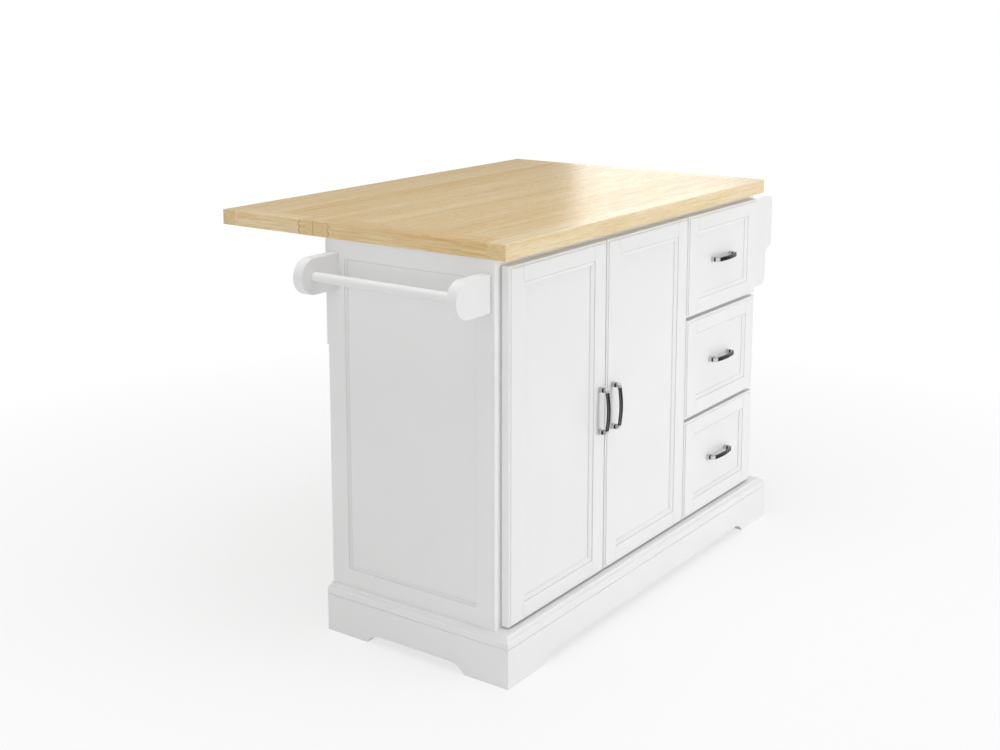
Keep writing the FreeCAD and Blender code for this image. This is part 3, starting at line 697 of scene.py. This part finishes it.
def bore_cups(front, cups):
    """Bores the two round seats of the hinge cups in the back of a door."""
    low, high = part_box(cups)
    for z in (low.z + CUP_INSET, high.z - CUP_INSET):
        bpy.ops.object.select_all(action="DESELECT")
        bpy.ops.mesh.primitive_cylinder_add(
            vertices=CUP_SIDES, radius=(high.x - low.x) / 2, depth=2 * (high.y - low.y),
            location=((low.x + high.x) / 2, high.y, z), rotation=(QUARTER_TURN, 0, 0))
        bore = bpy.context.object
        settle(bore)
        apply_modifier(front, "BOOLEAN", operation="DIFFERENCE", object=bore, solver="EXACT")
        bpy.data.objects.remove(bore)
    smooth(front)


class ISLAND_OT_fronts(bpy.types.Operator):
    """Makes the frames of the two doors and three drawer fronts"""
    bl_idname = "island.fronts"
    bl_label = "Doors and drawer fronts"

    def execute(self, context):
        sizes = context.scene.island_sizes
        members = (sizes.stile, sizes.rail, sizes.rail)
        for bodies in (DOORS, DRAWERS):
            low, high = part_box(bodies[0] + "_frame")
            size = high - low
            pattern = framed_piece(bodies[0] + "_joinery", size.x, size.z, size.y,
                                   members, FRONT_MOULDING, sizes, rim=True)
            copies = [pattern] + [copy_of(pattern, body + "_joinery") for body in bodies[1:]]
            for body, front in zip(bodies, copies):
                place(front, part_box(body + "_frame")[0])
                if body in DOORS:
                    bore_cups(front, body + "_hinge_cups")
                dress(front, body, "satin_paint", body + "_frame")
        return {"FINISHED"}


class ISLAND_OT_ends(bpy.types.Operator):
    """Makes the frames of the two ends of the cabinet"""
    bl_idname = "island.ends"
    bl_label = "Cabinet ends"

    def execute(self, context):
        sizes = context.scene.island_sizes
        low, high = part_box("left_side_frame")
        right_low, right_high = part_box("right_side_frame")
        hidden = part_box("plinth_caps")[1].z - low.z  # behind the plinth and its cap
        members = (sizes.side_stile, hidden + sizes.side_rail, sizes.side_rail)
        left = framed_piece("left_end_joinery", high.y - low.y, high.z - low.z, high.x - low.x,
                            members, SIDE_MOULDING, sizes, rim=False)
        right = copy_of(left, "right_end_joinery")
        place(left, (low.x, high.y, low.z), (0, 0, -QUARTER_TURN))
        place(right, (right_high.x, right_low.y, right_low.z), (0, 0, QUARTER_TURN))
        dress(left, "cabinet", "satin_paint", "left_side_frame")
        dress(right, "cabinet", "satin_paint", "right_side_frame")
        return {"FINISHED"}


# ---- worktop and leaf ----
# Corners of the teeth: share of the board's thickness, and whether the corner stands out.
TEETH = ((0.12, 0), (0.2, 1), (0.36, 1), (0.44, 0), (0.56, 0), (0.64, 1), (0.8, 1), (0.88, 0))
END_TURN = 0.75  # cosine to the length of the board, above which a face is end grain
SLOPE_TURN = 0.9  # cosine to each axis, below which a face is the slope of a tooth
FACE_SHIFT = 0.7  # in metres of grain, between the faces that look along X, Y and Z
BOARD_SEED = 11
STRIP_NUMBERS = (0.3, 1.0)  # range of the numbers of the strips
# How many strips, and the numbers of the front rail, back rail, left stile and right stile.
WORKTOP_BOARDS = (8, (0.0, 0.62, 0.9, 0.3))
LEAF_BOARDS = (4, (0.6, 0.5, 0.1, 0.34))


def in_joint(point, side, depth, reach=HAIR):
    """True between the side of a board and the tips of its teeth."""
    return min(side, side + depth) - reach <= point.y <= max(side, side + depth) + reach


def cut_teeth(side, low, high, depth):
    """Gives the side of a board at that Y the outline of a toothed glue joint."""
    levels = [(low + share * (high - low), out) for share, out in TEETH]
    for level, _ in levels:
        slice_across(Z, level)
    for level, out in levels:
        if out:
            pick("VERT", lambda vert: near(vert.co.y, side) and near(vert.co.z, level))
            bpy.ops.transform.translate(value=(0, depth, 0))


def numbered(obj, number):
    """Writes a board's number, which picks its stretch of grain and how dark it is."""
    mesh = obj.data
    written = mesh.attributes.get("board") or mesh.attributes.new("board", "FLOAT", "FACE")
    for face in written.data:
        face.value = number
    return obj


def map_grain(mesh, along):
    """Lays the grain map along a board, and marks the faces that are end grain."""
    grain = mesh.uv_layers.new(name="grain")
    end = mesh.attributes.new("end_grain", "FLOAT", "FACE")
    for face in mesh.polygons:
        is_end = abs(face.normal[along]) > END_TURN
        flat = max(range(3), key=lambda axis: abs(face.normal[axis]))
        first = Y - along if is_end else along
        second = [axis for axis in range(3) if axis not in (first, flat)][0]
        end.data[face.index].value = 1.0 if is_end else 0.0
        for loop in face.loop_indices:
            corner = mesh.vertices[mesh.loops[loop].vertex_index].co
            grain.data[loop].uv = (corner[first], corner[second] + FACE_SHIFT * flat)


def board(low, high, along, number, sizes, on_outside=None, toothed=()):
    """One board along X or Y, with softened edges, its grain map and its own number.

    toothed holds the Y and the depth of each side that is cut to a toothed glue joint.
    """
    obj = block("board", low, high)
    start_edit(obj)
    for side, depth in toothed:
        cut_teeth(side, low[Z], high[Z], depth)
        pick("EDGE", lambda edge: is_sharp(edge) and in_joint(middle(edge), side, depth))
        bevel(sizes.glue_line, segments=1)
    if on_outside:
        pick("EDGE", lambda edge: is_sharp(edge) and on_outside(middle(edge)))
        bevel(sizes.top_arris, segments=3)
    pick("EDGE", is_sharp)
    bevel(sizes.seam, segments=1)
    end_edit()
    smooth(obj)
    map_grain(obj.data, along)
    numbered(obj, number)
    written = obj.data.attributes["board"].data
    for side, depth in toothed:
        for face in obj.data.polygons:
            slanted = max(abs(part) for part in face.normal) < SLOPE_TURN
            if slanted and in_joint(face.center, side, depth, 2 * sizes.glue_line):
                written[face.index].value = GLUE
    return obj


def jointed(name, boards, numbers, sizes, free, toothed):
    """Two rails, two end stiles and the strips between them, each a board of its own.

    free is the Y of the long side that shows, and toothed the Y of the toothed glue joint.
    """
    strip_count, (front_rail, back_rail, left_stile, right_stile) = boards
    whole_low, whole_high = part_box(name + "_frame")
    low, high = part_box(name + "_boards")
    bottom, top = low.z, high.z
    joint = (toothed, sizes.tooth if toothed == low.y else -sizes.tooth)

    def on_outside(point):
        at_end = near(point.x, whole_low.x, whole_high.x)
        return near(point.y, free) or (at_end and near(point.z, bottom, top))

    border = []
    for number, front, back in ((front_rail, whole_low.y, low.y),
                                (back_rail, high.y, whole_high.y)):
        border.append(board(
            (whole_low.x, front, bottom), (whole_high.x, back, top), X, number, sizes,
            on_outside, [joint] if toothed in (front, back) else []))
    for number, left, right in ((left_stile, whole_low.x, low.x),
                                (right_stile, high.x, whole_high.x)):
        border.append(board(
            (left, low.y, bottom), (right, high.y, top), Y, number, sizes, on_outside, [joint]))
    width = (high.y - low.y) / strip_count
    strips = [board((low.x, low.y, bottom), (high.x, low.y + width, top), X,
                    numbers.uniform(*STRIP_NUMBERS), sizes)]
    for n in range(1, strip_count):
        strip = copy_of(strips[0], "strip")
        place(strip, (0, n * width, 0))
        strips.append(numbered(strip, numbers.uniform(*STRIP_NUMBERS)))
    return join(border, name + "_border"), join(strips, name + "_strips")


class ISLAND_OT_worktop(bpy.types.Operator):
    """Makes the jointed wood worktop and its drop leaf"""
    bl_idname = "island.worktop"
    bl_label = "Worktop and leaf"

    def execute(self, context):
        sizes = context.scene.island_sizes
        numbers = random.Random(BOARD_SEED)
        front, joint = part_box("worktop_frame")[0].y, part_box("worktop_boards")[1].y
        back, leaf_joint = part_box("leaf_frame")[1].y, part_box("leaf_boards")[0].y
        for name, body, boards, free, toothed in (
                ("worktop", "cabinet", WORKTOP_BOARDS, front, joint),
                ("leaf", "leaf", LEAF_BOARDS, back, leaf_joint)):
            border, strips = jointed(name, boards, numbers, sizes, free, toothed)
            dress(border, body, "worktop_lacquer", name + "_frame")
            dress(strips, body, "worktop_lacquer", name + "_boards")
        return {"FINISHED"}


# ---- pulls ----
# A pull is made upright: its length runs along Z, and it stands out along -Y from the origin.
FOOT_LEVEL = -48 * MM  # middle of the lower foot and neck
FOOT, FOOT_RISE = 12 * MM, 3 * MM  # side of the square foot, and how far it stands out
NECK, BAR_WIDTH, BAR_THICK = 9 * MM, 10 * MM, 4 * MM
BAR_RISE, BAR_BOW = 21 * MM, 4 * MM  # how far the bar stands out, and its middle beyond that
BOW_STEPS = 7
OUTER_BEND, INNER_BEND = 7.5 * MM, 3 * MM
BAR_ARRIS, FOOT_ARRIS = 1.1 * MM, 0.5 * MM
# The dark parts of the neck and bar below are painted shade; the rest of a pull gets painted
# highlights.
DARK_NECK = (7 * MM, 12 * MM)  # where the dark part of a neck starts and ends, outwards
DARK_BAR_START, DARK_BAR_HALF = 10 * MM, 43 * MM  # the same for the bar, and half its length
ARRIS_TURN = (0.3, 0.98)  # cosines to X between which a face is an arris
FRONT_TURN = 0.5  # cosine to the front above which a face of the bar shows from there
# Painted highlight of each part of a pull, from 0 for the dark nickel to 1 for the bright colour:
# feet, bends and arrises are painted highlights, the bar front the deepest painted shade.
PAINTED_SHINE = {"arris": 0.6, "bar front": 0.0, "bar": 0.05, "neck": 0.04, "foot and bend": 0.95}


def pull_foot():
    """The square foot at the lower end of a pull."""
    foot = block("foot", (-FOOT / 2, -FOOT_RISE, FOOT_LEVEL - FOOT / 2),
                 (FOOT / 2, 0, FOOT_LEVEL + FOOT / 2))
    start_edit(foot)
    pick("EDGE", is_sharp)
    bevel(FOOT_ARRIS, segments=2)
    end_edit()
    return foot


def pull_bar():
    """The lower half of a pull's neck and arched bar, open at the middle of the bar."""
    outside, inside = FOOT_LEVEL - NECK / 2, FOOT_LEVEL + NECK / 2
    back = BAR_THICK - BAR_RISE
    bar = block("bar", (-BAR_WIDTH / 2, -BAR_RISE, outside), (BAR_WIDTH / 2, -FOOT_RISE, inside))
    start_edit(bar)
    for depth in DARK_NECK:
        slice_across(Y, -depth)
    slice_across(Y, back)
    pick("FACE", lambda face: facing(Z, 1)(face) and face.calc_center_median().y < back)
    for n in range(BOW_STEPS):
        here, there = n / BOW_STEPS, (n + 1) / BOW_STEPS
        lift = BAR_BOW * (math.sin(there * QUARTER_TURN) - math.sin(here * QUARTER_TURN))
        bpy.ops.mesh.extrude_region_move(
            TRANSFORM_OT_translate={"value": (0, -lift, -inside / BOW_STEPS)})
    bpy.ops.mesh.delete(type="FACE")
    pick("VERT", lambda vert: near(vert.co.y, back) and near(vert.co.z, outside))
    bpy.ops.mesh.dissolve_verts()
    pick("EDGE", lambda edge: runs_along(edge, X) and near(middle(edge).y, -BAR_RISE)
         and near(middle(edge).z, outside))
    bevel(OUTER_BEND, segments=6)
    pick("EDGE", lambda edge: runs_along(edge, X) and near(middle(edge).y, back)
         and near(middle(edge).z, inside))
    bevel(INNER_BEND, segments=4)
    pick("EDGE", lambda edge: is_sharp(edge) and abs(middle(edge).x) > BAR_WIDTH / 2 - HAIR)
    bevel(BAR_ARRIS, segments=1)
    end_edit()
    return bar


def painted_shine_of(face):
    """Names the part of a pull that a face is on, which gives its painted highlight or shade."""
    depth = -face.center.y
    if ARRIS_TURN[0] < abs(face.normal.x) < ARRIS_TURN[1]:
        return "arris"
    if depth > DARK_BAR_START and abs(face.center.z) < DARK_BAR_HALF:
        return "bar front" if -face.normal.y > FRONT_TURN else "bar"
    return "neck" if DARK_NECK[0] < depth < DARK_NECK[1] else "foot and bend"


def bar_pull(name):
    """An arched flat bar on two square feet, with its painted highlights and shade written on its
    faces.
    """
    obj = join([pull_bar(), pull_foot()], name)
    apply_modifier(obj, "MIRROR", use_axis=(False, False, True), use_clip=True,
                   merge_threshold=HAIR)
    clean(obj)
    smooth(obj, degrees=25)
    # painted highlights and shade, written as a number on each face
    shine = obj.data.attributes.new("painted_shine", "FLOAT", "FACE")
    for face in obj.data.polygons:
        shine.data[face.index].value = PAINTED_SHINE[painted_shine_of(face)]
    return obj


class ISLAND_OT_pulls(bpy.types.Operator):
    """Makes the five arched pulls"""
    bl_idname = "island.pulls"
    bl_label = "Pulls"

    def execute(self, context):
        pattern = bar_pull("pull_pattern")
        for body in DOORS + DRAWERS:
            low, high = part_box(body + "_pull")
            turn, finish = ((0, "nickel_upright") if body in DOORS
                            else (QUARTER_TURN, "nickel_level"))
            pull = copy_of(pattern, body + "_bar_pull")
            place(pull, ((low.x + high.x) / 2, high.y, (low.z + high.z) / 2), (0, turn, 0))
            dress(pull, body, finish, body + "_pull")
        bpy.data.objects.remove(pattern)
        return {"FINISHED"}


# ---- stage ----
FLOOR_RADIUS, FLOOR_BORDER, FLOOR_DROP = 14.0, 10.0, 0.2 * MM
FLOOR_SPECKLE, SPECKLE_COLOUR = 0.04, (0.8, 0.8, 0.8)
FADE_FROM, FADE_TO = 0.7, 2.2  # distances between which the floor turns white
FADE_START = 0.7  # share of white at the first of them
SURROUNDING_LIGHT = 0.38  # strength of the surroundings as light; seen, they are at 1
# Name, place, size and watts, and whether the lamp shows as a sheen on varnish and paint.
LAMPS = (
    ("key_lamp", (1.1, -3.95, 0.8), 1.9, 61, False),
    ("left_lamp", (-4.3, -0.5, 1.3), 2.4, 33, False),
    ("top_lamp", (-0.3, -0.4, 3.6), 3.2, 58, False),
    ("window_lamp", (5.1, 2.75, 1.5), 1.6, 7.5, True))
LAMP_AIM = (0, 0, 0.5)
# Name, place, width and height.
FLAGS = (
    ("back_flag", (2.3, 2.6, 1.3), 2.3, 1.9),
    ("front_flag", (2.9, -2.6, 0.5), 1.6, 1.4))
FLAG_AIM = (0, 0, 0.9)
FLAG_GREY, FLAG_EDGE = (0.2, 0.2, 0.2), 0.1
CAMERA_PLACE = (-2.8384, -1.9654, 1.4136)
CAMERA_DIP, CAMERA_TURN = 0.1657, 0.6176  # in radians, below the level and from X to Y
CAMERA_LENS, CAMERA_SENSOR, CAMERA_SHIFT = 51.84, 36, -0.15
WHITE = (1, 1, 1)


def seen_rays(wire):
    """1 where the camera sees a surface, directly, mirrored or through glass, and else 0."""
    rays = wire.node("LightPath").outputs
    return wire.math("MAXIMUM", rays["Is Camera Ray"], wire.math(
        "MAXIMUM", rays["Is Glossy Ray"], rays["Is Transmission Ray"]))


def turned_to(aim, location, front):
    """The turn that points an object's front from its location to the aim."""
    return (Vector(aim) - Vector(location)).to_track_quat(front, "Y").to_euler()


class ISLAND_OT_stage(bpy.types.Operator):
    """Sets up the floor, the soft light and the camera"""
    bl_idname = "island.stage"
    bl_label = "Studio"

    def execute(self, context):
        self.floor(context.scene.island_colours.floor)
        self.surroundings()
        for lamp in LAMPS:
            self.lamp(*lamp)
        for flag in FLAGS:
            self.flag(*flag)
        self.camera()
        return {"FINISHED"}

    def floor(self, tint):
        """A round pale floor that keeps a soft shadow and fades to white."""
        bpy.ops.object.select_all(action="DESELECT")
        bpy.ops.mesh.primitive_circle_add(vertices=96, radius=FLOOR_RADIUS, fill_type="NGON")
        floor = bpy.context.object
        floor.name = floor.data.name = "studio_floor"
        start_edit(floor)
        pick("FACE", facing(Z, 1))
        inset(FLOOR_BORDER)
        bpy.ops.transform.translate(value=(0, 0, -FLOOR_DROP))
        end_edit()
        material = bpy.data.materials.new("studio_floor")
        material.use_nodes = True
        tree = material.node_tree
        wire = Wiring(tree)
        shader = tree.nodes["Principled BSDF"]
        spot = wire.object_place()
        speckle = wire.times(wire.noise(spot, scale=30.0, detail=2.0), FLOOR_SPECKLE)
        wire.feed(shader.inputs["Base Color"],
                  wire.blend(speckle, solid(tint), solid(SPECKLE_COLOUR)))
        shader.inputs["Roughness"].default_value = 0.9
        shader.inputs["Specular IOR Level"].default_value = 0.1
        away = wire.node("VectorMath", operation="LENGTH")
        wire.feed(away.inputs[0], spot)
        fade = wire.spread(away.outputs["Value"], FADE_FROM, FADE_TO, to_low=FADE_START)
        white = wire.node("Emission", {"Color": solid(WHITE), "Strength": 1.0})
        mixed = wire.node("MixShader", {"Fac": wire.times(fade, seen_rays(wire))})
        tree.links.new(shader.outputs[0], mixed.inputs[1])
        tree.links.new(white.outputs[0], mixed.inputs[2])
        tree.links.new(mixed.outputs[0], tree.nodes["Material Output"].inputs["Surface"])
        floor.data.materials.append(material)

    def surroundings(self):
        """A white world that gives less light than it shows."""
        world = bpy.data.worlds.new("studio_white")
        bpy.context.scene.world = world
        world.use_nodes = True
        wire = Wiring(world.node_tree)
        background = world.node_tree.nodes["Background"]
        background.inputs["Color"].default_value = solid(WHITE)
        wire.feed(background.inputs["Strength"], wire.math(
            "MULTIPLY_ADD", seen_rays(wire), 1.0 - SURROUNDING_LIGHT, SURROUNDING_LIGHT))

    def lamp(self, name, location, size, watts, mirrored):
        """A round soft lamp."""
        bpy.ops.object.light_add(type="AREA", location=location,
                                 rotation=turned_to(LAMP_AIM, location, "-Z"))
        lamp = bpy.context.object
        lamp.name = lamp.data.name = name
        lamp.data.shape = "DISK"
        lamp.data.size = size
        lamp.data.energy = watts
        lamp.visible_glossy = mirrored

    def flag(self, name, location, width, height):
        """A grey board that only reflections see, so that varnish and metal have contrast."""
        bpy.ops.object.select_all(action="DESELECT")
        bpy.ops.mesh.primitive_plane_add(size=1, location=location,
                                         rotation=turned_to(FLAG_AIM, location, "Z"))
        flag = bpy.context.object
        flag.name = flag.data.name = name
        flag.scale = (width, height, 1)
        settle(flag)
        start_edit(flag)
        bpy.ops.mesh.select_all(action="SELECT")
        inset(FLAG_EDGE)
        end_edit()
        material = bpy.data.materials.new(name)
        material.use_nodes = True
        shader = material.node_tree.nodes["Principled BSDF"]
        shader.inputs["Base Color"].default_value = solid(FLAG_GREY)
        shader.inputs["Roughness"].default_value = 1.0
        flag.data.materials.append(material)
        flag.visible_camera = flag.visible_diffuse = flag.visible_shadow = False
        flag.visible_transmission = flag.visible_volume_scatter = False

    def camera(self):
        """The camera, above the level of the worktop and out from the front left corner."""
        bpy.ops.object.camera_add(
            location=CAMERA_PLACE,
            rotation=(QUARTER_TURN - CAMERA_DIP, 0, CAMERA_TURN - QUARTER_TURN))
        camera = bpy.context.object
        camera.name = camera.data.name = "studio_camera"
        camera.data.sensor_width = CAMERA_SENSOR
        camera.data.lens = CAMERA_LENS
        camera.data.shift_y = CAMERA_SHIFT
        bpy.context.scene.camera = camera
        bpy.context.scene.view_settings.view_transform = "Standard"


# ---- the add-on ----
STEPS = (ISLAND_OT_stage, ISLAND_OT_finishes, ISLAND_OT_carcass, ISLAND_OT_ends,
         ISLAND_OT_fronts, ISLAND_OT_worktop, ISLAND_OT_pulls)


class ISLAND_PT_panel(bpy.types.Panel):
    """The steps and values of the island"""
    bl_idname = "ISLAND_PT_panel"
    bl_label = "Drop Leaf Kitchen Island"
    bl_space_type = "VIEW_3D"
    bl_region_type = "UI"
    bl_category = "Island"

    def draw(self, context):
        for step in STEPS:
            self.layout.operator(step.bl_idname)
        for group in (context.scene.island_sizes, context.scene.island_colours):
            for name in group.__annotations__:
                self.layout.prop(group, name)


CLASSES = (IslandSizes, IslandColours, *STEPS, ISLAND_PT_panel)


def register():
    for kind in CLASSES:
        bpy.utils.register_class(kind)
    bpy.types.Scene.island_sizes = PointerProperty(type=IslandSizes)
    bpy.types.Scene.island_colours = PointerProperty(type=IslandColours)


def unregister():
    del bpy.types.Scene.island_colours
    del bpy.types.Scene.island_sizes
    for kind in reversed(CLASSES):
        bpy.utils.unregister_class(kind)


def main():
    """Registers the add-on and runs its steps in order."""
    register()
    for step in STEPS:
        group, name = step.bl_idname.split(".")
        getattr(getattr(bpy.ops, group), name)()


if __name__ == "__main__":
    main()
